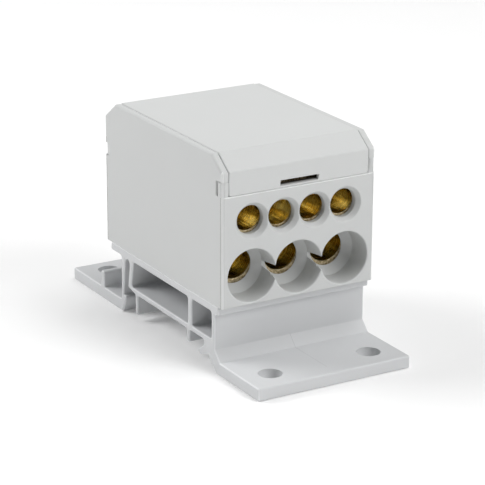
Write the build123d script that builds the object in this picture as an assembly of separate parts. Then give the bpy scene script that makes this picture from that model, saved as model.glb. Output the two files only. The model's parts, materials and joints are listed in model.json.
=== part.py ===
"""Power distribution block for a 35 mm mounting rail, in millimetres.

X runs along the rail (the block's width), Y runs along the wires (its length) and Z is up.
The origin is the middle of the block's footprint at the underside of the feet.
Each sub-part has one short function, and the last lines write one STEP file for each piece.
"""
import math
import os

from build123d import *

# Sizes of the whole block
block_width = 36.0
block_length = 81.9

# Base profile: feet, with the places of the ramp, the lip and the toes set from the rail slot
foot_thickness = 2.75
foot_inner_set = 5.05
foot_inner_rise = 2.25
foot_inner_top_set = 2.95
ramp_foot_set = 6.55
ramp_top_z = 4.95
foot_hole_radius = 2.5
foot_hole_spacing_x = 23.45
foot_hole_front_inset = 6.0
foot_hole_rear_inset = 5.25
lip_set = 9.2
lip_thickness = 1.6
lip_height = 3.65

# Base profile: legs and ledge, set from the rail slot, and cells, from the housing's middle
rail_width = 35.0
rail_play = 0.5
front_leg_set = 4.4
front_leg_wall = 1.25
rear_leg_set = 0.95
rear_leg_lean = 0.9
rear_leg_taper = 0.25
flex_mouth_rise = 0.7
flex_gap = 2.15
flex_roof = 0.1
web_bottom_z = 5.8
web_thickness = 1.15
ledge_front_overhang = 1.6
ledge_rear_overhang = 4.85
ledge_bottom_z = 12.8
cell_top_z = 12.9
cell_wall = 1.6
cell_wall_y = -11.85
latch_z = 4.0
latch_bite = 1.5
latch_foot_set = 0.5
hook_lip_z = 4.55
hook_reach = 2.8
hook_tip_z = 2.75
hook_under_z = 1.95
hook_root_z = 3.1
rib_width = 1.1
rear_rib_y = 11.7
rear_rib_bottom_z = 1.4
front_rib_y = -11.15
front_rib_bottom_z = 3.05

# Housing
housing_length = 50.4
housing_shift = -1.2
housing_bottom_z = 14.55
front_wall_top_z = 38.05
rear_wall_top_z = 37.6
housing_top_z = 46.1
side_wall = 1.6
upper_wall = 2.15
lower_wall = 7.2
floor_thickness = 1.55
front_chamfer_run = 4.25
front_chamfer_drop = 3.1
rear_chamfer_run = 4.65
rear_chamfer_drop = 3.4
tab_bottom_z = 41.0
slit_width = 0.7
lug_thickness = 1.5
lug_round = 0.7
lug_overlap = 0.05

# Upper row of wire openings
upper_count = 4
upper_pitch = 7.32
upper_z = 32.25
upper_mouth_radius = 3.8
upper_guide_radius = 3.05
upper_mouth_depth = 1.0

# Lower row of wire openings
lower_count = 3
lower_pitch = 10.95
lower_z = 20.7
lower_mouth_radius = 5.6
lower_guide_radius = 3.8
lower_mouth_depth = 5.5
mouth_draft = 0.1

# Terminal bar
bar_gap = 0.2
bar_top_z = 40.45
bar_step_z = 28.0
upper_bore_radius = 3.25
upper_bore_lift = 0.65
upper_bore_depth = 9.15
drill_point_angle = 118.0
lower_bore_radius = 4.0
lower_bore_lift = 1.1
lower_bore_depth = 14.8

# Clamping screws
thread_clearance = 0.05
upper_screw_radius = 3.0
upper_screw_length = 7.4
upper_screw_inset = 5.1
upper_socket = 3.0
upper_tip_radius = 2.5
upper_tip_length = 0.5
lower_screw_radius = 4.0
lower_screw_length = 10.0
lower_screw_y = 7.1
lower_socket = 4.0
lower_tip_radius = 3.1
lower_tip_length = 2.4
screw_chamfer = 0.5
screw_rest_lift = 0.25
socket_depth = 3.0

# Cover
cover_gap = 0.1
cover_proud = 0.15
cover_thickness = 1.6
hinge_inset = 0.7
hinge_z = 35.35
pin_radius = 1.38
pin_clearance = 0.07
pin_flat = 0.25
arm_trim = 0.1
hinge_arm_width = 1.1
hinge_slot_gap = 0.3
driver_slot_width = 8.9
driver_slot_height = 1.1
driver_slot_z = 39.1
driver_slot_slope = 0.35

# Edge rounding
soft_edge = 0.2
body_edge = 0.45
rim_round = 0.3
profile_round = 0.4
cell_round = 0.7
cove_round = 0.8
shoulder_round = 0.5

# Places that follow from the sizes above
half_width = block_width / 2
front_end_y = -block_length / 2
rear_end_y = block_length / 2
house_y = housing_shift
front_y = house_y - housing_length / 2
rear_y = house_y + housing_length / 2
hook_wall_y = house_y - (rail_width + rail_play) / 2
latch_wall_y = house_y + (rail_width + rail_play) / 2
front_leg_y = hook_wall_y - front_leg_set
flex_front_top_y = latch_wall_y - rear_leg_lean - flex_gap
upper_screw = (upper_screw_radius, upper_screw_length, upper_socket, upper_tip_radius, upper_tip_length)
lower_screw = (lower_screw_radius, lower_screw_length, lower_socket, lower_tip_radius, lower_tip_length)
inner_half_width = half_width - side_wall
bar_half_width = inner_half_width - bar_gap
bar_bottom_z = housing_bottom_z + floor_thickness
upper_bore_z = upper_z + upper_bore_lift
lower_bore_z = lower_z + lower_bore_lift
cover_half_width = inner_half_width - cover_gap
cover_bottom_z = front_wall_top_z + cover_gap
hinge_y = rear_y - hinge_inset
overshoot = 1.0


def row_places(count, pitch):
    """X places of a row of equal pieces, centred on the block."""
    return [(i - (count - 1) / 2) * pitch for i in range(count)]


def profile_block(points, half_length):
    """Solid whose side view (Y, Z) is the given outline, from -half_length to +half_length in X."""
    outline = Plane.YZ * make_face(Polyline(*points, close=True))
    return extrude(outline, amount=half_length, both=True)


def corner_near(sketch, y, z):
    """The corner of a side view sketch that lies nearest to a point."""
    return sketch.vertices().sort_by_distance(Vector(0, y, z))[0]


def rounded_profile(points, rounds):
    """Side view sketch with some of its corners rounded: rounds lists (y, z, radius)."""
    sketch = Plane.YZ * make_face(Polyline(*points, close=True))
    for y, z, radius in rounds:
        sketch = fillet(corner_near(sketch, y, z), radius)
    return sketch


def base_outline():
    """Outer side view of the base, with the rail slot open towards the bottom."""
    rear_leg_foot_y = latch_wall_y + rear_leg_set
    rear_leg_top_y = rear_leg_foot_y - rear_leg_taper
    flex_rear_top_y = latch_wall_y - rear_leg_lean
    flex_top_z = ledge_bottom_z - flex_roof
    flex_front_low_y = flex_front_top_y + rear_leg_lean
    ledge_front_y = front_leg_y - ledge_front_overhang
    ledge_rear_y = rear_leg_top_y + ledge_rear_overhang
    lip_y = latch_wall_y + lip_set
    return [
        (front_end_y, 0),
        (front_end_y, foot_thickness),
        (hook_wall_y - ramp_foot_set, foot_thickness),
        (front_leg_y, ramp_top_z),
        (front_leg_y, ledge_bottom_z),
        (ledge_front_y, ledge_bottom_z),
        (ledge_front_y, housing_bottom_z),
        (ledge_rear_y, housing_bottom_z),
        (ledge_rear_y, ledge_bottom_z),
        (rear_leg_top_y, ledge_bottom_z),
        (rear_leg_foot_y, foot_thickness),
        (lip_y, foot_thickness),
        (lip_y, foot_thickness + lip_height),
        (lip_y + lip_thickness, foot_thickness + lip_height),
        (lip_y + lip_thickness, foot_thickness),
        (rear_end_y, foot_thickness),
        (rear_end_y, 0),
        (latch_wall_y + latch_foot_set, 0),
        (latch_wall_y - latch_bite, latch_z),
        (latch_wall_y, latch_z),
        (flex_rear_top_y, flex_top_z),
        (flex_front_top_y, flex_top_z),
        (flex_front_low_y, web_bottom_z + flex_mouth_rise),
        (house_y + rear_rib_y + rib_width / 2, web_bottom_z),
        (house_y + rear_rib_y + rib_width / 2, rear_rib_bottom_z),
        (house_y + rear_rib_y - rib_width / 2, rear_rib_bottom_z),
        (house_y + rear_rib_y - rib_width / 2, web_bottom_z),
        (house_y + front_rib_y + rib_width / 2, web_bottom_z),
        (house_y + front_rib_y + rib_width / 2, front_rib_bottom_z),
        (house_y + front_rib_y - rib_width / 2, front_rib_bottom_z),
        (house_y + front_rib_y - rib_width / 2, web_bottom_z),
        (hook_wall_y, web_bottom_z),
        (hook_wall_y, hook_lip_z),
        (hook_wall_y + hook_reach, hook_tip_z),
        (hook_wall_y + hook_reach * 0.6, hook_under_z),
        (hook_wall_y - hook_reach * 0.6, hook_root_z),
        (hook_wall_y - foot_inner_top_set, foot_inner_rise),
        (hook_wall_y - foot_inner_set, 0),
    ]


def base():
    """Base moulding: feet, legs, rail hook, flexing latch leg, cells and ledge plate."""
    points = base_outline()
    coves = (4, 9, 10)
    flex_ends = (20, 21)
    shoulders = (12, 13, 18)
    sketch = Plane.YZ * make_face(Polyline(*points, close=True))
    for index in range(len(points)):
        y, z = points[index]
        radius = profile_round
        if index in coves:
            radius = cove_round
        if index in flex_ends:
            radius = flex_gap * 0.45
        if index in shoulders:
            radius = shoulder_round
        sketch = fillet(corner_near(sketch, y, z), radius)
    body = extrude(sketch, amount=half_width, both=True)
    for cell in base_cells():
        body -= cell
    for y in (front_end_y + foot_hole_front_inset, rear_end_y - foot_hole_rear_inset):
        for side in (-1, 1):
            hole = Cylinder(foot_hole_radius, foot_thickness * 3)
            body -= Pos(side * foot_hole_spacing_x / 2, y, foot_thickness / 2) * hole
    return body


def base_cells():
    """The two square tunnels above the web, cut right through along X."""
    floor_z = web_bottom_z + web_thickness
    small = [
        (front_leg_y + front_leg_wall, floor_z),
        (house_y + cell_wall_y - cell_wall / 2, floor_z),
        (house_y + cell_wall_y - cell_wall / 2, cell_top_z),
        (front_leg_y + front_leg_wall, cell_top_z),
    ]
    big = [
        (house_y + cell_wall_y + cell_wall / 2, floor_z),
        (flex_front_top_y + rear_leg_lean - cell_wall, floor_z),
        (flex_front_top_y - cell_wall, cell_top_z),
        (house_y + cell_wall_y + cell_wall / 2, cell_top_z),
    ]
    cells = []
    for points in (small, big):
        sketch = rounded_profile(points, [(y, z, cell_round) for y, z in points])
        cells.append(extrude(sketch, amount=block_width, both=True))
    return cells


def round_cutter(points):
    """Round cutter along +Y from its radius and depth points, closed on its own axis."""
    profile = [(0, -overshoot), (points[0][0], -overshoot)] + points + [(0, points[-1][1])]
    return revolve(make_face(Polyline(*profile, close=True)), Axis.Y)


def upper_cutter():
    """Countersunk opening of the upper row: a short cone, then a straight guide."""
    return round_cutter([
        (upper_mouth_radius, 0),
        (upper_guide_radius, upper_mouth_depth),
        (upper_guide_radius, upper_wall + bar_gap),
    ])


def lower_cutter():
    """Funnel of the lower row: a deep round mouth, then a cone down to the bar's bore."""
    return round_cutter([
        (lower_mouth_radius, 0),
        (lower_mouth_radius - mouth_draft, lower_mouth_depth),
        (lower_guide_radius, lower_wall),
        (lower_guide_radius, lower_wall + bar_gap),
    ])


def wire_openings():
    """Cutters of all wire openings on the front and the rear face."""
    upper = upper_cutter()
    lower = lower_cutter()
    cutters = []
    for x in row_places(upper_count, upper_pitch):
        cutters.append(Pos(x, 0, upper_z) * upper)
    for x in row_places(lower_count, lower_pitch):
        cutters.append(Pos(x, 0, lower_z) * lower)
    front = [Pos(0, front_y, 0) * cutter for cutter in cutters]
    rear = [Pos(0, rear_y, 0) * mirror(cutter, about=Plane.XZ) for cutter in cutters]
    return front + rear


def side_wall_profile():
    """Side view of one side wall, with its chamfers, front tab and front slit."""
    slit_y = front_y + lug_thickness + slit_width
    points = [
        (front_y, housing_bottom_z),
        (front_y, front_wall_top_z),
        (slit_y, front_wall_top_z),
        (slit_y, tab_bottom_z),
        (front_y, tab_bottom_z),
        (front_y, housing_top_z - front_chamfer_drop),
        (front_y + front_chamfer_run, housing_top_z),
        (rear_y - rear_chamfer_run, housing_top_z),
        (rear_y, housing_top_z - rear_chamfer_drop),
        (rear_y, housing_bottom_z),
    ]
    rounds = [(y, z, shoulder_round) for y, z in points[5:9]]
    rounds += [(points[3][0], points[3][1], soft_edge)]
    rounds += [(points[4][0], points[4][1], soft_edge)]
    return rounded_profile(points, rounds)


def side_walls():
    """Both side walls of the housing, soft along the outside and along the top of the inside."""
    sketch = side_wall_profile()
    wall = extrude(sketch, amount=side_wall)
    outer = wall.faces().sort_by(Axis.X)[-1]
    wall = fillet(outer.edges(), body_edge)
    inner = wall.faces().sort_by(Axis.X)[0]
    rim = [edge for edge in inner.edges() if edge.center().Z > tab_bottom_z]
    wall = fillet(rim, rim_round)
    place = Pos(inner_half_width, 0, 0) * wall
    return [place, mirror(place, about=Plane.YZ)]


def housing_shell():
    """Lower part of the housing: floor, front wall and rear wall, hollow for the bar."""
    height = front_wall_top_z - housing_bottom_z
    shell = Pos(0, house_y, housing_bottom_z + height / 2) * Box(block_width, housing_length, height)
    edges = shell.edges().filter_by(Axis.Z)
    shell = fillet(edges, body_edge)
    lower_length = housing_length - 2 * lower_wall
    upper_length = housing_length - 2 * upper_wall
    pocket_width = 2 * inner_half_width
    lower_height = bar_step_z - bar_gap - bar_bottom_z
    upper_height = housing_top_z - bar_step_z + bar_gap
    shell -= Pos(0, house_y, bar_bottom_z + lower_height / 2) * Box(pocket_width, lower_length, lower_height)
    upper_middle_z = bar_step_z - bar_gap + upper_height / 2
    shell -= Pos(0, house_y, upper_middle_z) * Box(pocket_width, upper_length, upper_height)
    trim = Box(block_width, upper_wall * 2, overshoot * 2)
    shell -= Pos(0, rear_y, rear_wall_top_z + overshoot) * trim
    return shell


def corner_lugs():
    """Small upright lugs between the front wall and the tabs, in front of the slits."""
    height = tab_bottom_z - front_wall_top_z
    lugs = []
    for side in (-1, 1):
        lug = Box(side_wall, lug_thickness, height + 2 * lug_overlap)
        x = side * (half_width - side_wall / 2)
        z = front_wall_top_z + height / 2
        lug = Pos(x, front_y + lug_thickness / 2, z) * lug
        corner = lug.edges().filter_by(Axis.Z).sort_by_distance(Vector(side * half_width, front_y, z))[0]
        lugs.append(fillet(corner, lug_round))
    return lugs


def hinge_cutters():
    """Round notches for the hinge pins and the slots for the cover's arms."""
    notch_radius = pin_radius + pin_clearance
    cutters = []
    for side in (-1, 1):
        notch = Cylinder(notch_radius, side_wall * 2, rotation=(0, 90, 0))
        cutters.append(Pos(side * (half_width - side_wall / 2), hinge_y, hinge_z) * notch)
        slot_width = hinge_arm_width + cover_gap + hinge_slot_gap
        slot_front_y = hinge_y - cover_thickness / 2 + arm_trim - hinge_slot_gap
        slot_bottom_z = hinge_z - cover_thickness / 2 - hinge_slot_gap
        slot = Box(slot_width, rear_y + overshoot - slot_front_y, housing_top_z - slot_bottom_z)
        x = side * (inner_half_width - slot_width / 2)
        y = (slot_front_y + rear_y + overshoot) / 2
        cutters.append(Pos(x, y, (housing_top_z + slot_bottom_z) / 2) * slot)
    return cutters


def housing():
    """Housing moulding with all wire openings."""
    body = housing_shell()
    for wall in side_walls():
        body += wall
    for lug in corner_lugs():
        body += lug
    body = body - wire_openings()
    return body - hinge_cutters()


def cover_panel():
    """Bent panel of the cover: front skirt, chamfers, top and rear skirt."""
    top_z = housing_top_z + cover_proud
    points = [
        (front_y, hinge_z),
        (front_y, top_z - front_chamfer_drop),
        (front_y + front_chamfer_run, top_z),
        (rear_y - rear_chamfer_run, top_z),
        (rear_y, top_z - rear_chamfer_drop),
        (rear_y, hinge_z),
    ]
    outer = rounded_profile(points, [(y, z, shoulder_round) for y, z in points[1:5]])
    panel = extrude(outer, amount=cover_half_width, both=True)
    inner_points = [
        (front_y + cover_thickness, hinge_z - overshoot),
        (front_y + cover_thickness, top_z - front_chamfer_drop - cover_thickness * 0.5),
        (front_y + front_chamfer_run + cover_thickness * 0.4, top_z - cover_thickness),
        (rear_y - rear_chamfer_run - cover_thickness * 0.4, top_z - cover_thickness),
        (rear_y - cover_thickness, top_z - rear_chamfer_drop - cover_thickness * 0.5),
        (rear_y - cover_thickness, hinge_z - overshoot),
    ]
    panel -= profile_block(inner_points, block_width)
    trim_height = cover_bottom_z - hinge_z
    trim = Box(block_width, housing_length * 2, trim_height * 2)
    panel -= Pos(0, house_y, hinge_z) * trim
    return panel


def driver_slot():
    """Window in the front skirt for a screwdriver, with a sloping floor."""
    low_z = driver_slot_z - driver_slot_height / 2
    high_z = driver_slot_z + driver_slot_height / 2
    points = [
        (front_y - overshoot, low_z - driver_slot_slope * overshoot / cover_thickness),
        (front_y + cover_thickness + overshoot, low_z + driver_slot_slope),
        (front_y + cover_thickness + overshoot, high_z),
        (front_y - overshoot, high_z),
    ]
    return profile_block(points, driver_slot_width / 2)


def hinge_arms():
    """Arms that reach down from the rear skirt, each with its hinge pin."""
    arm_round = cover_thickness / 2 - arm_trim
    arms = []
    for side in (-1, 1):
        arm_top_z = cover_bottom_z + cover_thickness
        arm = Box(hinge_arm_width, 2 * arm_round, arm_top_z - hinge_z)
        arm = Pos(0, 0, (arm_top_z - hinge_z) / 2) * arm
        arm += Cylinder(arm_round, hinge_arm_width, rotation=(0, 90, 0))
        pin_length = side_wall + cover_gap - soft_edge
        pin = Cylinder(pin_radius, pin_length, rotation=(0, 90, 0))
        flat = Box(block_width, pin_radius, pin_radius * 3)
        pin -= Pos(0, pin_flat + pin_radius / 2, 0) * flat
        arm += Pos(side * (hinge_arm_width + pin_length) / 2, 0, 0) * pin
        arms.append(Pos(side * (cover_half_width - hinge_arm_width / 2), hinge_y, hinge_z) * arm)
    return arms


def cover():
    """Hinged cover moulding."""
    body = cover_panel() - driver_slot()
    sides = body.faces().sort_by(Axis.X)
    outline = list(sides[0].edges()) + list(sides[-1].edges())
    body = fillet(outline, rim_round)
    for arm in hinge_arms():
        body += arm
    return body


def blind_bore(radius, depth):
    """Drilled blind bore along +Y from y = 0, with its cone at the bottom."""
    cone_depth = radius / math.tan(math.radians(drill_point_angle / 2))
    points = [(0, -overshoot), (radius, -overshoot), (radius, depth), (0, depth + cone_depth)]
    return revolve(make_face(Polyline(*points, close=True)), Axis.Y)


def screw_places():
    """Name, x, y, top of the bore below, radius of that bore and sizes of each clamping screw."""
    places = []
    for row, side in (("front", -1), ("rear", 1)):
        upper_y = house_y + side * (housing_length / 2 - upper_wall - bar_gap - upper_screw_inset)
        for i, x in enumerate(row_places(upper_count, upper_pitch)):
            name = f"screw_top_{row}_{i + 1}"
            crown_z = upper_bore_z + upper_bore_radius
            places.append((name, x, upper_y, crown_z, upper_bore_radius, upper_screw))
        lower_y = house_y + side * lower_screw_y
        for i, x in enumerate(row_places(lower_count, lower_pitch)):
            name = f"screw_low_{row}_{i + 1}"
            crown_z = lower_bore_z + lower_bore_radius
            places.append((name, x, lower_y, crown_z, lower_bore_radius, lower_screw))
    return places


def bar():
    """Brass terminal bar with its wire bores and threaded holes."""
    width = 2 * bar_half_width
    lower_length = housing_length - 2 * lower_wall - 2 * bar_gap
    upper_length = housing_length - 2 * upper_wall - 2 * bar_gap
    lower_height = bar_step_z - bar_bottom_z
    upper_height = bar_top_z - bar_step_z
    body = Pos(0, house_y, bar_bottom_z + lower_height / 2) * Box(width, lower_length, lower_height)
    body += Pos(0, house_y, bar_step_z + upper_height / 2) * Box(width, upper_length, upper_height)
    blind = blind_bore(upper_bore_radius, upper_bore_depth)
    deep = blind_bore(lower_bore_radius, lower_bore_depth)
    for x in row_places(upper_count, upper_pitch):
        body -= Pos(x, house_y - upper_length / 2, upper_bore_z) * blind
        body -= Pos(x, house_y + upper_length / 2, upper_bore_z) * mirror(blind, about=Plane.XZ)
    for x in row_places(lower_count, lower_pitch):
        body -= Pos(x, house_y - lower_length / 2, lower_bore_z) * deep
        body -= Pos(x, house_y + lower_length / 2, lower_bore_z) * mirror(deep, about=Plane.XZ)
    for name, x, y, crown_z, bore_radius, sizes in screw_places():
        hole_height = bar_top_z + overshoot - crown_z + bore_radius
        hole = Cylinder(sizes[0] + thread_clearance, hole_height)
        body -= Pos(x, y, crown_z - bore_radius + hole_height / 2) * hole
    return body


def screw(radius, length, socket, tip_radius, tip_length):
    """Headless clamping screw with a tapered tip at z = 0 and a hexagon socket at its top."""
    profile = [
        (0, 0),
        (tip_radius, 0),
        (radius, tip_length),
        (radius, length - screw_chamfer),
        (radius - screw_chamfer, length),
        (0, length),
    ]
    body = revolve(Plane.XZ * make_face(Polyline(*profile, close=True)), Axis.Z)
    hexagon = extrude(RegularPolygon(socket / 2, 6, major_radius=False), amount=socket_depth)
    return body - Pos(0, 0, length - socket_depth) * hexagon


def main():
    """Build every piece and write its file."""
    os.makedirs("parts", exist_ok=True)
    export_step(base(), "parts/base.step")
    export_step(housing(), "parts/housing.step")
    export_step(cover(), "parts/cover.step")
    export_step(bar(), "parts/bar.step")
    for name, x, y, crown_z, bore_radius, sizes in screw_places():
        piece = Pos(x, y, crown_z + screw_rest_lift) * screw(*sizes)
        export_step(piece, f"parts/{name}.step")


main()
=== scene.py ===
# %% [markdown]
# # Power distribution block for a mounting rail
#
# The object is a grey plastic block that shares one feed among several wires. A base with two
# screw feet carries a housing, a brass bar sits inside the housing, fourteen clamping screws
# hold the wires, and a hinged cover closes the top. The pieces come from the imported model, which
# is a fixed frame: nothing here moves or resizes them. This lesson gives them the finish and
# the fine edges that a mould and a drill leave, then lights them as a product photograph.

import json
import math

import bmesh
import bpy
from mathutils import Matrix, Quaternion, Vector

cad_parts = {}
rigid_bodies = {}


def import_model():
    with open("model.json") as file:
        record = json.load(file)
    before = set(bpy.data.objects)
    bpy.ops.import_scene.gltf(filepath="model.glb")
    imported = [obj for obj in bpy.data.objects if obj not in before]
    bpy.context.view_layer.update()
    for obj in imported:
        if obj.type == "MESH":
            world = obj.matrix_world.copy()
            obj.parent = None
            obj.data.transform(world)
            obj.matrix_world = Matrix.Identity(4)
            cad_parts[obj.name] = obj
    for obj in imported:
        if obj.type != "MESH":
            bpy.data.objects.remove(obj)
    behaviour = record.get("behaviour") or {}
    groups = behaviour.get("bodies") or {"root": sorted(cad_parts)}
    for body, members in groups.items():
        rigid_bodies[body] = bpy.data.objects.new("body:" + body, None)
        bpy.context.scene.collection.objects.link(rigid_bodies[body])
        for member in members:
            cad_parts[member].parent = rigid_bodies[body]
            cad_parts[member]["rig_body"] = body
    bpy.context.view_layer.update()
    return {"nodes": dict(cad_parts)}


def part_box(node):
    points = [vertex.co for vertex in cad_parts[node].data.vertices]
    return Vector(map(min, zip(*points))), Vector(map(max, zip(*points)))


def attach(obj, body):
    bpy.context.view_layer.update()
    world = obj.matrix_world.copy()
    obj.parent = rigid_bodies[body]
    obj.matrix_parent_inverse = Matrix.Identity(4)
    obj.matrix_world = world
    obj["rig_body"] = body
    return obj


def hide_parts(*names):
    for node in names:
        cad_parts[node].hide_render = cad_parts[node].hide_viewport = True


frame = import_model()

# %% Units and the places read from the frame
MM = 0.001
base_low, base_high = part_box("base")
house_low, house_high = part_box("housing")
cover_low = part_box("cover")[0]
bar_low, bar_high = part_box("bar")

# %% [markdown]
# ## Camera
#
# The photograph looks at the wire side from its left, a little above the block. A long lens
# keeps the edges nearly parallel, as product photographs do. The camera is placed by angles and
# a distance from one aim point, which is easier to read and to change than a bare position.

# %% Camera at the photograph's viewing angle
VIEW_AZIMUTH = -30.352
VIEW_ELEVATION = 19.083
VIEW_ROLL = 0.225
VIEW_DISTANCE = 473.0 * MM
LENS = 165.5
SENSOR = 36.0
CLIP_NEAR = 10 * MM
CLIP_FAR = 50.0
AIM = Vector((0.853, -2.319, 18.46)) * MM


def direction(azimuth, elevation):
    """Unit vector from the aim point towards a viewer at these angles."""
    a = math.radians(azimuth)
    e = math.radians(elevation)
    return Vector((math.sin(a) * math.cos(e), -math.cos(a) * math.cos(e), math.sin(e)))


def make_camera():
    """The scene's camera, with no depth of field and no shift."""
    data = bpy.data.cameras.new("camera")
    data.lens = LENS
    data.sensor_width = SENSOR
    data.clip_start = CLIP_NEAR
    data.clip_end = CLIP_FAR
    camera = bpy.data.objects.new("camera", data)
    bpy.context.scene.collection.objects.link(camera)
    back = direction(VIEW_AZIMUTH, VIEW_ELEVATION)
    level = (-back).to_track_quat("-Z", "Y")
    camera.location = AIM + back * VIEW_DISTANCE
    camera.rotation_mode = "QUATERNION"
    camera.rotation_quaternion = level @ Quaternion((0, 0, 1), math.radians(VIEW_ROLL))
    bpy.context.scene.camera = camera
    return camera


camera = make_camera()
print("camera at", [round(c / MM, 1) for c in camera.location], "mm")

# %% [markdown]
# ## Shader sums in Python
#
# A finish is easier to read as a sum than as a tangle of nodes. `Flow` wraps one socket, and each
# Python operator on it adds the Math node that works it out, also when the number comes first.
# `Finish` holds one material and has a single method for every other kind of node: settings are
# set first, because some of them change which sockets the node has, and the sockets come after.

# %% A socket that can be used in sums
class Flow:
    """A socket of a finish. Operators on it add Math nodes and give a new Flow."""

    def __init__(self, finish, socket):
        self.finish = finish
        self.socket = socket

    def sum(self, operation, first, second=0.0):
        """Adds a Math node for one operation and gives its result."""
        feeds = {0: first, 1: second}
        return self.finish.node("ShaderNodeMath", {"operation": operation}, feeds)

    def __add__(self, other):
        return self.sum("ADD", self, other)

    def __radd__(self, other):
        return self.sum("ADD", other, self)

    def __sub__(self, other):
        return self.sum("SUBTRACT", self, other)

    def __rsub__(self, other):
        return self.sum("SUBTRACT", other, self)

    def __mul__(self, other):
        return self.sum("MULTIPLY", self, other)

    def __rmul__(self, other):
        return self.sum("MULTIPLY", other, self)

    def __abs__(self):
        return self.sum("ABSOLUTE", self)

    def less_than(self, limit):
        """1 where the value is below the limit, else 0."""
        return self.sum("LESS_THAN", self, limit)

    def more_than(self, limit):
        """1 where the value is above the limit, else 0."""
        return self.sum("GREATER_THAN", self, limit)


print("sums of sockets ready")

# %% A material and its nodes
class Finish:
    """One material, built node by node."""

    def __init__(self, name):
        self.material = bpy.data.materials.new(name)
        self.material.use_nodes = True
        self.tree = self.material.node_tree
        self.tree.nodes.clear()

    def node(self, kind, settings=None, feeds=None, out=0):
        """Adds a node: its settings, then the values or links of its sockets."""
        made = self.tree.nodes.new(kind)
        for name, value in (settings or {}).items():
            setattr(made, name, value)
        for name, value in (feeds or {}).items():
            if isinstance(value, Flow):
                self.tree.links.new(value.socket, made.inputs[name])
            else:
                made.inputs[name].default_value = value
        return Flow(self, made.outputs[out]) if made.outputs else None

    def place(self):
        """Coordinates of the piece itself, in metres, so that patterns move with it."""
        return self.node("ShaderNodeTexCoord", out="Object")

    def axis(self, name):
        """One coordinate of the piece, X, Y or Z, in metres."""
        return self.node("ShaderNodeSeparateXYZ", feeds={"Vector": self.place()}, out=name)

    def noise(self, size, detail=2.0, roughness=0.5, stretch=(1.0, 1.0, 1.0)):
        """Soft noise from 0 to 1. Spots are about this size, and longer where stretch is below 1."""
        settings = {"operation": "MULTIPLY"}
        place = self.node("ShaderNodeVectorMath", settings, {0: self.place(), 1: stretch}, out="Vector")
        feeds = {"Vector": place, "Scale": 1.0 / size}
        feeds.update({"Detail": detail, "Roughness": roughness})
        return self.node("ShaderNodeTexNoise", feeds=feeds, out="Fac")

    def ease(self, value, low, high, start=0.0, end=1.0):
        """Smooth step of a value from low to high, given as start to end."""
        feeds = {"Value": value, "From Min": low, "From Max": high}
        feeds.update({"To Min": start, "To Max": end})
        settings = {"interpolation_type": "SMOOTHSTEP"}
        return self.node("ShaderNodeMapRange", settings, feeds, out="Result")

    def mix(self, factor, first, second):
        """Colour between two colours, which the node takes at its sockets 6 and 7."""
        feeds = {0: factor, 6: first, 7: second}
        return self.node("ShaderNodeMix", {"data_type": "RGBA"}, feeds, out=2)

    def bump(self, height, distance):
        """Normal of a surface that a height of 0 to 1 lifts by up to this distance."""
        feeds = {"Height": height, "Distance": distance, "Strength": 1.0}
        return self.node("ShaderNodeBump", feeds=feeds, out="Normal")

    def surface(self, **feeds):
        """The shader and the material's output. Socket names take _ for a space."""
        named = {name.replace("_", " "): value for name, value in feeds.items()}
        shader = self.node("ShaderNodeBsdfPrincipled", feeds=named)
        self.node("ShaderNodeOutputMaterial", feeds={"Surface": shader})
        return self.material


print("shader helpers ready")

# %% [markdown]
# ## Grey plastic
#
# The three mouldings are light grey plastic from moulds with a fine spark finish. That gives a
# satin surface with a grain of a few tenths of a millimetre, too shallow to show as dots but
# enough to spread the highlights. The melt also cools unevenly, so the tone drifts by about one
# part in a hundred across a wall. The base is a slightly cooler grey than the upper mouldings.
#
# An image could give the grain too, but it would have to be unwrapped and would show its seams at
# the fine edges. Noise on the coordinates of the piece has no seams and turns with the cover.

# %% Tone and grain of the mouldings
HOUSE_LEVEL = 0.62
COVER_LEVEL = 0.65
BASE_LEVEL = 0.65
HOUSE_TINT = (-0.012, 0.004, -0.004)
BASE_TINT = (-0.016, -0.002, 0.012)
PLASTIC_ROUGHNESS = 0.46
PLASTIC_GLOSS = 0.5
GRAIN_SIZE = 0.35 * MM
GRAIN_DEPTH = 0.006 * MM
GRAIN_CONTRAST = 0.08
DRIFT_SIZE = 14 * MM
DRIFT = 0.015


def grey(level, tint):
    """Light grey of this level, with a share of red, green and blue added to it."""
    return tuple(level * (1 + share) for share in tint) + (1.0,)


def drifting_tone(finish, level, tint):
    """Grey that drifts slowly along a wall."""
    drift = finish.noise(DRIFT_SIZE, detail=1.0)
    return finish.mix(drift, grey(level * (1 - DRIFT), tint), grey(level * (1 + DRIFT), tint))


def satin(finish, tone):
    """Closes a finish with the satin grain that all the mouldings share."""
    grain = finish.noise(GRAIN_SIZE, detail=3.0, roughness=0.6)
    rough = PLASTIC_ROUGHNESS + GRAIN_CONTRAST * (grain - 0.5)
    normal = finish.bump(grain, GRAIN_DEPTH)
    return finish.surface(
        Base_Color=tone, Roughness=rough, Normal=normal, Specular_IOR_Level=PLASTIC_GLOSS)


print("grey levels", HOUSE_LEVEL, COVER_LEVEL, BASE_LEVEL)

# %% [markdown]
# A real moulding also shows where it was made. Where the halves of the housing's mould met, a
# hairline runs down each side near the corners, and a faint weld line crosses the base's front
# foot where two streams of the melt met. Some light and shade is painted into the colour as well:
# a painted highlight makes the housing's front corners, the ledge under the cover and the edges
# of both ends of the base a little paler, and painted shade turns the cover's driver slot dark
# towards its inside.
#
# The imported model has the slot itself. The other marks have no depth that could be seen, so they
# aren't cut into the mesh. Each is a band of its piece's coordinates, and the band chooses
# between two colours.

# %% Marks of the housing, and its painted edge highlights
HIGHLIGHT_LEVEL = 0.82
LINE_LEVEL = 0.2
LINE_TINT = (-0.1, -0.16, -0.22)
LINE_WIDTH = 0.16 * MM
LINE_INSET = 0.52 * MM
LINE_DEPTH = 0.15 * MM
LEDGE_Z = 38.05 * MM
LEDGE_HIGHLIGHT_BAND = 0.25 * MM
CORNER_HIGHLIGHT_BAND = 0.42 * MM


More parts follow.
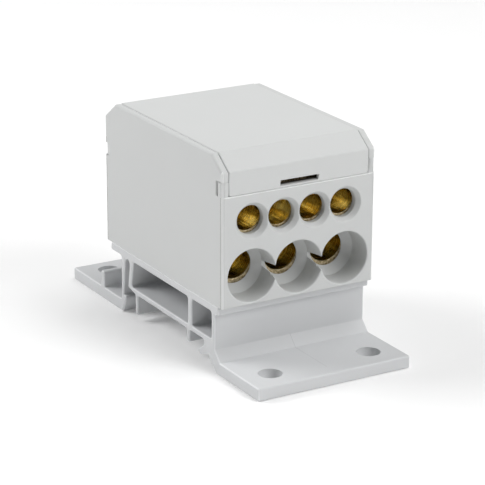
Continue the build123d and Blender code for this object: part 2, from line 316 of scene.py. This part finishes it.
def parting_lines(finish, tone):
    """Adds the hairlines down the housing's sides, below the ledge."""
    side = abs(finish.axis("X")).more_than(house_high.x - LINE_DEPTH)
    side = side * finish.axis("Z").less_than(LEDGE_Z)
    for place in (house_low.y + LINE_INSET, house_high.y - LINE_INSET):
        line = abs(finish.axis("Y") - place).less_than(LINE_WIDTH / 2) * side
        tone = finish.mix(line, tone, grey(LINE_LEVEL, LINE_TINT))
    return tone


def painted_edge_highlights(finish, tone):
    """Adds a painted highlight: a paler grey along the ledge and the corners of the front wall."""
    front = finish.axis("Y").less_than(house_low.y + CORNER_HIGHLIGHT_BAND)
    ledge = abs(finish.axis("Z") - LEDGE_Z + LEDGE_HIGHLIGHT_BAND / 2).less_than(LEDGE_HIGHLIGHT_BAND / 2)
    corner = abs(finish.axis("X")).more_than(house_high.x - CORNER_HIGHLIGHT_BAND)
    # Painted highlight: the ledge and the front corners take a paler grey instead of a real rim of
    # light.
    for edge in (ledge, corner):
        tone = finish.mix(edge * front, tone, grey(HIGHLIGHT_LEVEL, HOUSE_TINT))
    return tone


def housing_plastic():
    """Finish of the housing."""
    finish = Finish("housing_grey")
    tone = drifting_tone(finish, HOUSE_LEVEL, HOUSE_TINT)
    return satin(finish, painted_edge_highlights(finish, parting_lines(finish, tone)))


house_grey = housing_plastic()
print("plastic", house_grey.name)

# %% Marks of the cover: painted shade in its driver slot
SLOT_Z = 39.1 * MM
SLOT_HALF = 4.5 * MM
SLOT_BAND = 0.95 * MM
SLOT_LIT = 0.5 * MM
SLOT_DARK = 1.0 * MM
SLOT_END = 1.55 * MM
SLOT_SHADE = (0.05, 0.04, 0.03, 1.0)


def cover_plastic():
    """Finish of the cover, with painted shade that darkens the driver slot inwards."""
    finish = Finish("cover_grey")
    tone = drifting_tone(finish, COVER_LEVEL, HOUSE_TINT)
    # Painted shade: a near black colour fills the slot's inside from a little behind its front.
    depth = finish.axis("Y") - cover_low.y
    inside = finish.ease(depth, SLOT_LIT, SLOT_DARK) * depth.less_than(SLOT_END)
    inside = inside * abs(finish.axis("X")).less_than(SLOT_HALF)
    inside = inside * abs(finish.axis("Z") - SLOT_Z).less_than(SLOT_BAND)
    return satin(finish, finish.mix(inside, tone, SLOT_SHADE))


cover_grey = cover_plastic()
print("plastic", cover_grey.name)

# %% Marks of the base, and its painted edge highlights
HIGHLIGHT_FAR = 0.3 * MM
HIGHLIGHT_NEAR = 0.03 * MM
WELD_LEVEL = 0.54
WELD_WIDTH = 0.12 * MM
WELD_TOP = 5.2 * MM
WELD_SET = 3.4 * MM


def base_plastic():
    """Finish of the base, with a painted highlight on the end edges and a weld line over the front
    foot.
    """
    finish = Finish("base_grey")
    tone = drifting_tone(finish, BASE_LEVEL, BASE_TINT)
    across = abs(finish.axis("X"))
    # Painted highlight: a band along both ends takes a paler grey.
    rim = across.more_than(base_high.x - HIGHLIGHT_FAR) * across.less_than(base_high.x - HIGHLIGHT_NEAR)
    tone = finish.mix(rim, tone, grey(HIGHLIGHT_LEVEL, BASE_TINT))
    along = finish.axis("Y")
    weld = across.less_than(WELD_WIDTH / 2) * finish.axis("Z").less_than(WELD_TOP)
    weld = weld * along.more_than(base_low.y + WELD_SET) * along.less_than(0.0)
    return satin(finish, finish.mix(weld, tone, grey(WELD_LEVEL, BASE_TINT)))


base_grey = base_plastic()
print("plastic", base_grey.name)

# %% [markdown]
# ## Brass and steel
#
# The bar is drilled from a brass block. The drill leaves a slightly torn surface, which breaks
# the reflections into streaks that run along each bore, crossed by fine rings. The bump gives
# the torn surface, and light and dark gold in the colour paint the streaks on top of it, as
# painted reflection; the lower bores take a darker gold, as painted shade. The sawn faces where
# the bores start are greyer and duller, and the top is milled flat.
# The clamping screws are zinc plated steel, so they are a neutral, duller metal.
#
# Real grooves would take millions of faces. Noise that is stretched along the bores gives the
# same play of light, because it drives the bump and the colour together.

# %% Brass of the bar
BRASS = (0.96, 0.84, 0.46, 1.0)
DARK_REFLECTION_BRASS = (0.60, 0.45, 0.13, 1.0)
SHADED_LOW_BRASS = (0.88, 0.74, 0.30, 1.0)
SAWN = (0.66, 0.55, 0.36, 1.0)
SAWN_DARK = (0.30, 0.23, 0.12, 1.0)
SAWN_DULL = 0.3
BAR_STEP_Z = 28.0 * MM
BAR_STEP_FACE = 7.4 * MM
HOUSE_MIDDLE_Y = (house_low.y + house_high.y) / 2
HIGH_FACE = bar_high.y - HOUSE_MIDDLE_Y
LOW_FACE = house_high.y - BAR_STEP_FACE - HOUSE_MIDDLE_Y
FACE_DEPTH = 0.28 * MM
TOP_SKIN = 0.03 * MM
TOP_GOLD = 0.5
TOP_CALM = 0.7
STREAK_SIZE = 1.8 * MM
ALONG_BORE = (1.0, 0.12, 1.0)
UPPER_STREAKS = (0.42, 0.6)
LOWER_STREAKS = (0.4, 0.6)
RING_SIZE = 0.5 * MM
ROUND_BORE = (0.1, 3.0, 0.1)
RING_SHARE = 0.06
BLOTCH_SIZE = 0.5 * MM
SOFT_SPAN = (0.3, 0.7)
BRASS_ROUGHNESS = (0.14, 0.3)
TEAR_DEPTH = 0.28 * MM


def brass():
    """Finish of the bar: streaks of painted reflection and rings in the bores, painted shade in the
    lower bores, dull sawn faces and a calm top.
    """
    finish = Finish("drilled_brass")
    height = finish.axis("Z")
    top = height.more_than(bar_high.z - TOP_SKIN)
    low = height.less_than(BAR_STEP_Z)
    along = abs(finish.axis("Y") - HOUSE_MIDDLE_Y)
    sawn = abs(along - LOW_FACE).less_than(FACE_DEPTH) * low
    sawn = sawn + along.more_than(HIGH_FACE - FACE_DEPTH)
    streaks = finish.noise(STREAK_SIZE, detail=2.0, roughness=0.6, stretch=ALONG_BORE)
    blotches = finish.noise(BLOTCH_SIZE, detail=2.0)
    rings = finish.noise(RING_SIZE, detail=2.0, stretch=ROUND_BORE)
    # Painted reflection: the streaks mix a light and a dark gold into the colour, on top of the bump.
    gold = finish.ease(streaks, *UPPER_STREAKS) * (1 - TOP_CALM * top) + TOP_GOLD * top
    tone = finish.mix(gold, DARK_REFLECTION_BRASS, BRASS)
    # Painted shade: the deeper lower bores take a darker copy of the gold.
    shaded_low_tone = finish.mix(finish.ease(streaks, *LOWER_STREAKS), DARK_REFLECTION_BRASS, SHADED_LOW_BRASS)
    sawn_tone = finish.mix(finish.ease(blotches, *SOFT_SPAN), SAWN_DARK, SAWN)
    tone = finish.mix(sawn, finish.mix(low, tone, shaded_low_tone), sawn_tone)
    rough = finish.ease(rings, *SOFT_SPAN, *BRASS_ROUGHNESS) + SAWN_DULL * sawn
    normal = finish.bump((streaks + RING_SHARE * rings) * (1 - top), TEAR_DEPTH)
    return finish.surface(Base_Color=tone, Metallic=1.0, Roughness=rough, Normal=normal)


bar_brass = brass()
print("metal", bar_brass.name)

# %% Steel of the screws
STEEL = (0.62, 0.62, 0.60, 1.0)
STEEL_ROUGHNESS = 0.28
MARK_ROUGHNESS = 0.14
MARK_SIZE = 0.8 * MM
MARK_DEPTH = 0.01 * MM


def steel():
    """Finish of the clamping screws."""
    finish = Finish("plated_steel")
    marks = finish.noise(MARK_SIZE, detail=3.0)
    rough = STEEL_ROUGHNESS + MARK_ROUGHNESS * marks
    normal = finish.bump(marks, MARK_DEPTH)
    return finish.surface(Base_Color=STEEL, Metallic=1.0, Roughness=rough, Normal=normal)


screw_steel = steel()
for name, node in frame["nodes"].items():
    if name.startswith("screw"):
        node.material_slots[0].material = screw_steel
print("metal", screw_steel.name)

# %% [markdown]
# ## Fine edges
#
# No moulded edge is truly sharp: it has a radius of a few tenths of a millimetre, and the thin
# bright line that this radius catches is most of what makes plastic look real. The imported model
# has its large rounds already. A copy of each moulding gets the fine ones, and stands for it.
#
# A bevel would be the usual way, but on a dense curved edge it pinches or overlaps. An edge round
# a flat face can be rounded exactly instead. The flat face comes off, every loop round it is drawn
# inwards in a few steps that follow a quarter circle, and a new flat face closes the inside of
# the last loops. On the base, this is done with the two end faces of its long profile.

# %% Mesh helpers
WELD = 0.001 * MM
SMOOTH_ANGLE = math.radians(34.0)


def welded(node):
    """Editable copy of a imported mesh, with its split corners joined again."""
    body = bmesh.new()
    body.from_mesh(frame["nodes"][node].data)
    bmesh.ops.remove_doubles(body, verts=body.verts, dist=WELD)
    return body


def stand_in(body, node, name, material):
    """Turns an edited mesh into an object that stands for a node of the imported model."""
    body.normal_update()
    for face in body.faces:
        face.smooth = True
    for edge in body.edges:
        edge.smooth = edge.calc_face_angle(0.0) < SMOOTH_ANGLE
    open_edges = sum(not edge.is_manifold for edge in body.edges)
    print(name, "faces", len(body.faces), "open edges", open_edges)
    mesh = bpy.data.meshes.new(name)
    body.to_mesh(mesh)
    body.free()
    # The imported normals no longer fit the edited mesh, so new ones are worked out from its faces.
    for layer in [a for a in mesh.attributes if a.name == "custom_normal"]:
        mesh.attributes.remove(layer)
    mesh.materials.clear()
    mesh.materials.append(material)
    piece = bpy.data.objects.new(name, mesh)
    bpy.context.scene.collection.objects.link(piece)
    even = piece.modifiers.new("even_normals", "WEIGHTED_NORMAL")
    even.keep_sharp = True
    even.weight = 100
    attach(piece, frame["nodes"][node]["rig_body"])
    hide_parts(node)


print("edges stay smooth up to", round(math.degrees(SMOOTH_ANGLE)), "degrees")

# %% Flat faces and the ways round their edges
LEAST_SPREAD = 0.4


def in_plane(item, axis, level):
    """Whether all corners of an edge or a face lie in one plane."""
    return all(abs(v.co[axis] - level) < WELD for v in item.verts)


def take_off(body, axis, level):
    """Removes the flat faces in one plane and keeps the edges round them."""
    flat = [face for face in body.faces if in_plane(face, axis, level)]
    bmesh.ops.delete(body, geom=flat, context="FACES_KEEP_BOUNDARY")


def rim_ways(edges, out):
    """The ways into the flat face and down the wall from a corner between two rim edges."""
    inside = Vector((0, 0, 0))
    wall = Vector((0, 0, 0))
    flats = []
    for edge in edges:
        normal = edge.link_faces[0].normal
        flats.append((normal - out * normal.dot(out)).normalized())
        down = normal.cross(edge.verts[0].co - edge.verts[1].co).normalized()
        wall += -down if down.dot(out) > 0 else down
        inside -= flats[-1]
    spread = 1 + flats[0].dot(flats[1])
    return inside / max(spread, LEAST_SPREAD), wall.normalized()


print("corner ways ready")

# %% Exact rounding of a flat face's edges
RIM_STEPS = 4


def close_round(body, axis, level, side, radius_at):
    """Rounds the open edges in one plane and closes it with a new flat face."""
    out = Vector([side * (i == axis) for i in range(3)])
    body.normal_update()
    rim = [e for e in body.edges if e.is_boundary and in_plane(e, axis, level)]
    meeting = {}
    for edge in rim:
        for corner in edge.verts:
            meeting.setdefault(corner, []).append(edge)
    start = {corner: corner.co.copy() for corner in meeting}
    radius = {c: radius_at(c.co) if len(edges) == 2 else 0.0 for c, edges in meeting.items()}
    ways = {c: rim_ways(meeting[c], out) for c in meeting if radius[c] > 0}
    last = {corner: corner for corner in meeting}
    for corner, (inside, wall) in ways.items():
        corner.co = start[corner] + wall * radius[corner]
    for step in range(1, RIM_STEPS + 1):
        angle = math.radians(90.0 * step / RIM_STEPS)
        row = dict(last)
        for corner, (inside, wall) in ways.items():
            shift = wall * (1 - math.sin(angle)) + inside * (1 - math.cos(angle))
            row[corner] = body.verts.new(start[corner] + shift * radius[corner])
        for edge in rim:
            a, b = edge.verts
            ring = list(dict.fromkeys((last[a], last[b], row[b], row[a])))
            if len(ring) > 2:
                body.faces.new(ring)
        last = row
    edges = [body.edges.get((last[e.verts[0]], last[e.verts[1]])) for e in rim]
    bmesh.ops.triangle_fill(body, edges=edges, use_beauty=True, normal=out)


print("quarter circles of", RIM_STEPS, "steps")

# %% Base with rounded ends
END_RADIUS = 0.35 * MM


def round_base():
    """Makes the copy of the base, with its two ends rounded."""
    body = welded("base")
    for end, side in ((base_low.x, -1), (base_high.x, 1)):
        take_off(body, 0, end)
        close_round(body, 0, end, side, lambda place: END_RADIUS)
    bmesh.ops.recalc_face_normals(body, faces=body.faces)
    stand_in(body, "base", "base_moulding", base_grey)


round_base()

# %% [markdown]
# The housing needs more care, because its wire openings run into each other. Where two of them
# meet, a thin tip of plastic is left. First the ridges between neighbours are made blunt. Then
# the edge of each opening is rounded like the ends of the base, with a radius that gets smaller
# towards the tips, so that the two sides never cross.

# %% Wire openings of the housing
ROWS = [
    {"z": 32.25 * MM, "pitch": 7.32 * MM, "count": 4, "radius": 3.8 * MM},
    {"z": 20.7 * MM, "pitch": 10.95 * MM, "count": 3, "radius": 5.6 * MM},
]
FUNNEL_RADIUS = 0.28 * MM
UPPER_RADIUS = 0.1 * MM
LOWEST_RADIUS = 0.16 * MM
LEDGE_RADIUS = 0.25 * MM
THINNING = 0.8
NEAR = 0.12 * MM


def row_centres(row):
    """X places of the openings in one row."""
    return [(i - (row["count"] - 1) / 2) * row["pitch"] for i in range(row["count"])]


def row_on_circle(place, rows):
    """The row of which one opening's edge passes through a place, or None."""
    for row in rows:
        for x in row_centres(row):
            if abs(math.hypot(place.x - x, place.z - row["z"]) - row["radius"]) < NEAR:
                return row
    return None


def tip_distance(place, row):
    """Distance along X from a place to the nearest middle between two openings."""
    return min(abs(place.x - x - row["pitch"] / 2) for x in row_centres(row)[:-1])


def mouth_radius(place):
    """Radius of the edge at a place on the outer flat face."""
    row = row_on_circle(place, ROWS)
    if row is ROWS[0]:
        below = max(0.0, (row["z"] - place.z) / row["radius"])
        radius = UPPER_RADIUS + (LOWEST_RADIUS - UPPER_RADIUS) * below
        return min(radius, THINNING * tip_distance(place, row))
    if row:
        return min(FUNNEL_RADIUS, THINNING * tip_distance(place, row))
    return LEDGE_RADIUS if abs(place.z - LEDGE_Z) < NEAR and place.y < 0 else 0.0


print("openings", sum(row["count"] for row in ROWS), "in each wall")

# %% Housing with rounded openings
BOTTOM_RADIUS = 0.2 * MM
RIDGE_WIDTH = 0.2 * MM
RIDGE_ANGLE = math.radians(60.0)
RIDGE_DEPTH = 1.1 * MM
RIDGE_RISE = 1.3 * MM
RIDGE_PLAY = 0.02 * MM


def is_ridge(edge, level):
    """Whether an edge is the sharp ridge between two openings of one wall."""
    middle = (edge.verts[0].co + edge.verts[1].co) / 2
    if abs(middle.y - level) > RIDGE_DEPTH or edge.is_boundary:
        return False
    between = any(
        tip_distance(middle, row) < RIDGE_PLAY and abs(middle.z - row["z"]) < RIDGE_RISE
        for row in ROWS)
    return between and edge.calc_face_angle(0.0) > RIDGE_ANGLE


def round_housing():
    """Makes the copy of the housing, with rounded openings, ledge and bottom edge."""
    body = welded("housing")
    for level, side in ((house_low.y, -1), (house_high.y, 1)):
        take_off(body, 1, level)
        body.normal_update()
        ridges = [edge for edge in body.edges if is_ridge(edge, level)]
        print("ridges", len(ridges))
        bmesh.ops.bevel(
            body, geom=ridges, offset=RIDGE_WIDTH, offset_type="WIDTH", segments=3,
            profile=0.5, affect="EDGES", clamp_overlap=False)
        close_round(body, 1, level, side, mouth_radius)
    take_off(body, 2, house_low.z)
    close_round(body, 2, house_low.z, -1, lambda place: BOTTOM_RADIUS)
    bmesh.ops.recalc_face_normals(body, faces=body.faces)
    stand_in(body, "housing", "housing_moulding", house_grey)


round_housing()

# %% [markdown]
# The bar has four drilled faces, because it steps back below the upper bores at both ends. A
# drill is followed by a deburring tool, so each bore starts with a small round.

# %% Bar with deburred bores
BORES = [
    {"z": 32.9 * MM, "pitch": 7.32 * MM, "count": 4, "radius": 3.25 * MM, "edge": 0.1 * MM},
    {"z": 21.8 * MM, "pitch": 10.95 * MM, "count": 3, "radius": 4.0 * MM, "edge": 0.25 * MM},
]


def bore_edge(place):
    """Radius of the edge at a place on a drilled face of the bar."""
    row = row_on_circle(place, BORES)
    return row["edge"] if row else 0.0


def deburr_bar():
    """Makes the copy of the bar, with a small radius where the drill went in."""
    body = welded("bar")
    for wall, side in ((house_low.y, -1), (house_high.y, 1)):
        upper = bar_low.y if side < 0 else bar_high.y
        for level in (upper, wall - side * BAR_STEP_FACE):
            take_off(body, 1, level)
            close_round(body, 1, level, side, bore_edge)
    bmesh.ops.recalc_face_normals(body, faces=body.faces)
    stand_in(body, "bar", "brass_bar", bar_brass)


deburr_bar()

# %% [markdown]
# The cover's sides lie against the housing with a seam as fine as a hair, so its copy fills most
# of the play that the moving model needs. Beside the housing's two lugs, the corner of the front
# skirt is square, and elsewhere each sharp edge gets a fine bevel. A bevel is quick here, because
# most of the cover's edges are straight. Its limit shows at the roots of the hinge pins and at the
# lower corners of the front skirt, where short edges meet and some bevelled faces cross.

# %% Close seams of the cover
COVER_SIDE = 16.3 * MM
SIDE_BAND = 0.4 * MM
SEAM_FILL = 0.085 * MM
LUG_TOP = 41.0 * MM
LUG_STEP = 0.06 * MM


def close_seams(body):
    """Widens the cover's sides and squares the skirt's corners beside the lugs."""
    for height in (LUG_TOP, LUG_TOP + LUG_STEP):
        everything = list(body.verts) + list(body.edges) + list(body.faces)
        bmesh.ops.bisect_plane(body, geom=everything, plane_co=(0, 0, height), plane_no=(0, 0, 1))
    for vertex in body.verts:
        if -WELD < COVER_SIDE - abs(vertex.co.x) < SIDE_BAND:
            vertex.co.x += math.copysign(SEAM_FILL, vertex.co.x)
            beside_lug = LEDGE_Z + SIDE_BAND < vertex.co.z < LUG_TOP + WELD
            if beside_lug and vertex.co.y - cover_low.y < SIDE_BAND:
                vertex.co.y = cover_low.y


print("seams", round((COVER_SIDE + SEAM_FILL) / MM, 3), "mm from the middle")

# %% Cover with soft edges
FLAT_ANGLE = math.radians(0.4)
SHARP_ANGLE = math.radians(28.0)
EDGE_WIDTH = 0.18 * MM
EDGE_ROOM = 2.2


def face_width(face, edge):
    """Mean width of a face, measured square to one of its edges."""
    return face.calc_area() / max(edge.calc_length(), WELD)


def is_sharp(edge):
    """Whether an edge is sharp and has room for the fine bevel on both sides."""
    if len(edge.link_faces) != 2 or edge.calc_face_angle(0.0) <= SHARP_ANGLE:
        return False
    return min(face_width(face, edge) for face in edge.link_faces) > EDGE_ROOM * EDGE_WIDTH


def soften_cover():
    """Makes the copy of the cover, with close seams and fine bevels."""
    body = welded("cover")
    bmesh.ops.dissolve_limit(body, angle_limit=FLAT_ANGLE, verts=body.verts, edges=body.edges)
    bmesh.ops.connect_verts_concave(body, faces=body.faces)
    close_seams(body)
    sharp = [edge for edge in body.edges if is_sharp(edge)]
    print("cover edges softened", len(sharp))
    bmesh.ops.bevel(
        body, geom=sharp, offset=EDGE_WIDTH, offset_type="OFFSET", segments=3, profile=0.5,
        affect="EDGES", clamp_overlap=False, loop_slide=True, material=-1)
    stand_in(body, "cover", "cover_moulding", cover_grey)


soften_cover()

# %% [markdown]
# ## Floor and light
#
# The photograph is a plain product shot on white. A wide white floor lies under the feet, with a
# faint glow that keeps the shadows soft. Five soft lamps stand round the block. The strongest is
# behind it on the left, for the side and the top. A wide, low one behind it on the right gives
# the top its sheen, one in front is for the wire face, and two high ones fill in from the right
# and from above. A picture of a studio could light the block too, but separate lamps can be
# balanced one by one, until each face is about as light as in the photograph.

# %% Floor
FLOOR_HALF = 3.0
FLOOR_DROP = 0.02 * MM
FLOOR_WHITE = (0.92, 0.92, 0.92, 1.0)
FLOOR_GLOSS = 0.2
FLOOR_GLOW = 0.1


def make_floor():
    """Plain white floor under the feet."""
    shape = bmesh.new()
    bmesh.ops.create_grid(shape, x_segments=1, y_segments=1, size=FLOOR_HALF)
    mesh = bpy.data.meshes.new("floor")
    shape.to_mesh(mesh)
    shape.free()
    finish = Finish("floor_white")
    white = finish.surface(
        Base_Color=FLOOR_WHITE, Roughness=1.0, Specular_IOR_Level=FLOOR_GLOSS,
        Emission_Color=FLOOR_WHITE, Emission_Strength=FLOOR_GLOW)
    mesh.materials.append(white)
    floor = bpy.data.objects.new("floor", mesh)
    floor.location = (0, 0, -FLOOR_DROP)
    bpy.context.scene.collection.objects.link(floor)


make_floor()
print("floor", 2 * FLOOR_HALF, "m wide")

# %% Lamps and surroundings
WORLD_LIGHT = 0.04
LAMP_DISTANCE = 0.9
LAMPS = {
    "back_left": {"azimuth": -135, "elevation": 35, "size": 0.5, "watts": 5.5},
    "back_right": {"azimuth": 135, "elevation": 10, "size": 1.2, "watts": 2.7},
    "front": {"azimuth": 28, "elevation": 33, "size": 0.5, "watts": 3.9},
    "right": {"azimuth": 90, "elevation": 60, "size": 0.5, "watts": 1.3},
    "above": {"azimuth": 30, "elevation": 75, "size": 0.5, "watts": 2.5},
}


def make_lamp(name, azimuth, elevation, size, watts):
    """Square soft lamp that faces the block."""
    data = bpy.data.lights.new(name, "AREA")
    data.shape = "SQUARE"
    data.size = size
    data.energy = watts
    lamp = bpy.data.objects.new(name, data)
    bpy.context.scene.collection.objects.link(lamp)
    way = direction(azimuth, elevation)
    lamp.location = Vector((0, 0, house_low.z)) + way * LAMP_DISTANCE
    lamp.rotation_mode = "QUATERNION"
    lamp.rotation_quaternion = (-way).to_track_quat("-Z", "Y")


def make_world():
    """Even pale light from all round."""
    world = bpy.data.worlds.new("surroundings")
    world.use_nodes = True
    sky = world.node_tree.nodes["Background"]
    sky.inputs["Color"].default_value = (1.0, 1.0, 1.0, 1.0)
    sky.inputs["Strength"].default_value = WORLD_LIGHT
    bpy.context.scene.world = world


make_world()
for name, numbers in LAMPS.items():
    make_lamp(name, **numbers)
bpy.context.scene.view_settings.view_transform = "Standard"
print("lamps", len(LAMPS))
